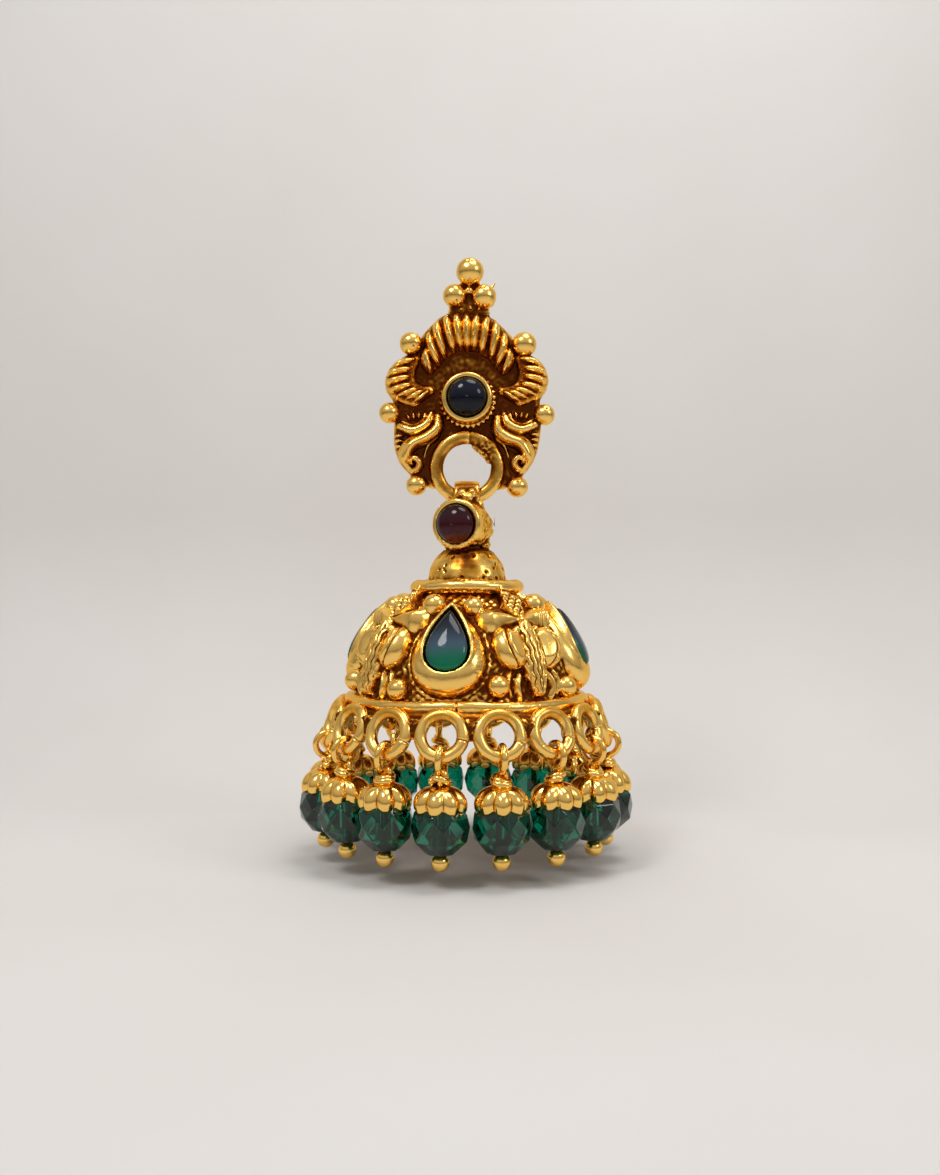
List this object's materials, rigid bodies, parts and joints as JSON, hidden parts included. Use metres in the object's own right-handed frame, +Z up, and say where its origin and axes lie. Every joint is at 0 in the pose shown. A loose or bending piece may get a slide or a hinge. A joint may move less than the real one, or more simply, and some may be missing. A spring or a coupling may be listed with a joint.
{
  "type": "jhumka drop earring",
  "caption": "Antique gold drop earring: ribbed stud plaque with ear post, domed bell on a strap bail, soldered ring row with hanging faceted glass beads.",
  "frame": {"origin": "middle of the ear post's foot, on the plaque's back face, at the stud stone's height", "axes": "+Z up as worn, -Y towards the viewer, the post points to +Y"},
  "size_m": [0.0256, 0.0255, 0.0459],
  "materials": {
    "antique_gold": "burnished antique gold with dark brown patina in the recesses and small casting pits",
    "blue_stone": "polished dark blue-black cabochon",
    "red_stone": "polished dark garnet cabochon",
    "green_stone": "polished green pear cabochon",
    "green_glass": "clear emerald faceted glass"
  },
  "bodies": {
    "stud": {"stud_plaque": "antique_gold", "ear_post": "antique_gold", "stud_stone": "blue_stone"},
    "drop": {"bell": "antique_gold", "neck_stone": "red_stone", "drop_stone_1": "green_stone", "drop_stone_2": "green_stone", "drop_stone_3": "green_stone", "drop_stone_4": "green_stone", "head_pin_01": "antique_gold", "head_pin_02": "antique_gold", "head_pin_03": "antique_gold", "head_pin_04": "antique_gold", "head_pin_05": "antique_gold", "head_pin_06": "antique_gold", "head_pin_07": "antique_gold", "head_pin_08": "antique_gold", "head_pin_09": "antique_gold", "head_pin_10": "antique_gold", "head_pin_11": "antique_gold", "head_pin_12": "antique_gold", "head_pin_13": "antique_gold", "head_pin_14": "antique_gold", "head_pin_15": "antique_gold", "head_pin_16": "antique_gold", "bead_cap_01": "antique_gold", "bead_cap_02": "antique_gold", "bead_cap_03": "antique_gold", "bead_cap_04": "antique_gold", "bead_cap_05": "antique_gold", "bead_cap_06": "antique_gold", "bead_cap_07": "antique_gold", "bead_cap_08": "antique_gold", "bead_cap_09": "antique_gold", "bead_cap_10": "antique_gold", "bead_cap_11": "antique_gold", "bead_cap_12": "antique_gold", "bead_cap_13": "antique_gold", "bead_cap_14": "antique_gold", "bead_cap_15": "antique_gold", "bead_cap_16": "antique_gold", "glass_bead_01": "green_glass", "glass_bead_02": "green_glass", "glass_bead_03": "green_glass", "glass_bead_04": "green_glass", "glass_bead_05": "green_glass", "glass_bead_06": "green_glass", "glass_bead_07": "green_glass", "glass_bead_08": "green_glass", "glass_bead_09": "green_glass", "glass_bead_10": "green_glass", "glass_bead_11": "green_glass", "glass_bead_12": "green_glass", "glass_bead_13": "green_glass", "glass_bead_14": "green_glass", "glass_bead_15": "green_glass", "glass_bead_16": "green_glass"}
  },
  "joints": [
    {"name": "drop_swing", "type": "hinge", "parent": "stud", "child": "drop", "pos_m": [0, -0.00095, -0.00784], "axis": [1, 0, 0], "range_deg": [-85, 75]}
  ]
}
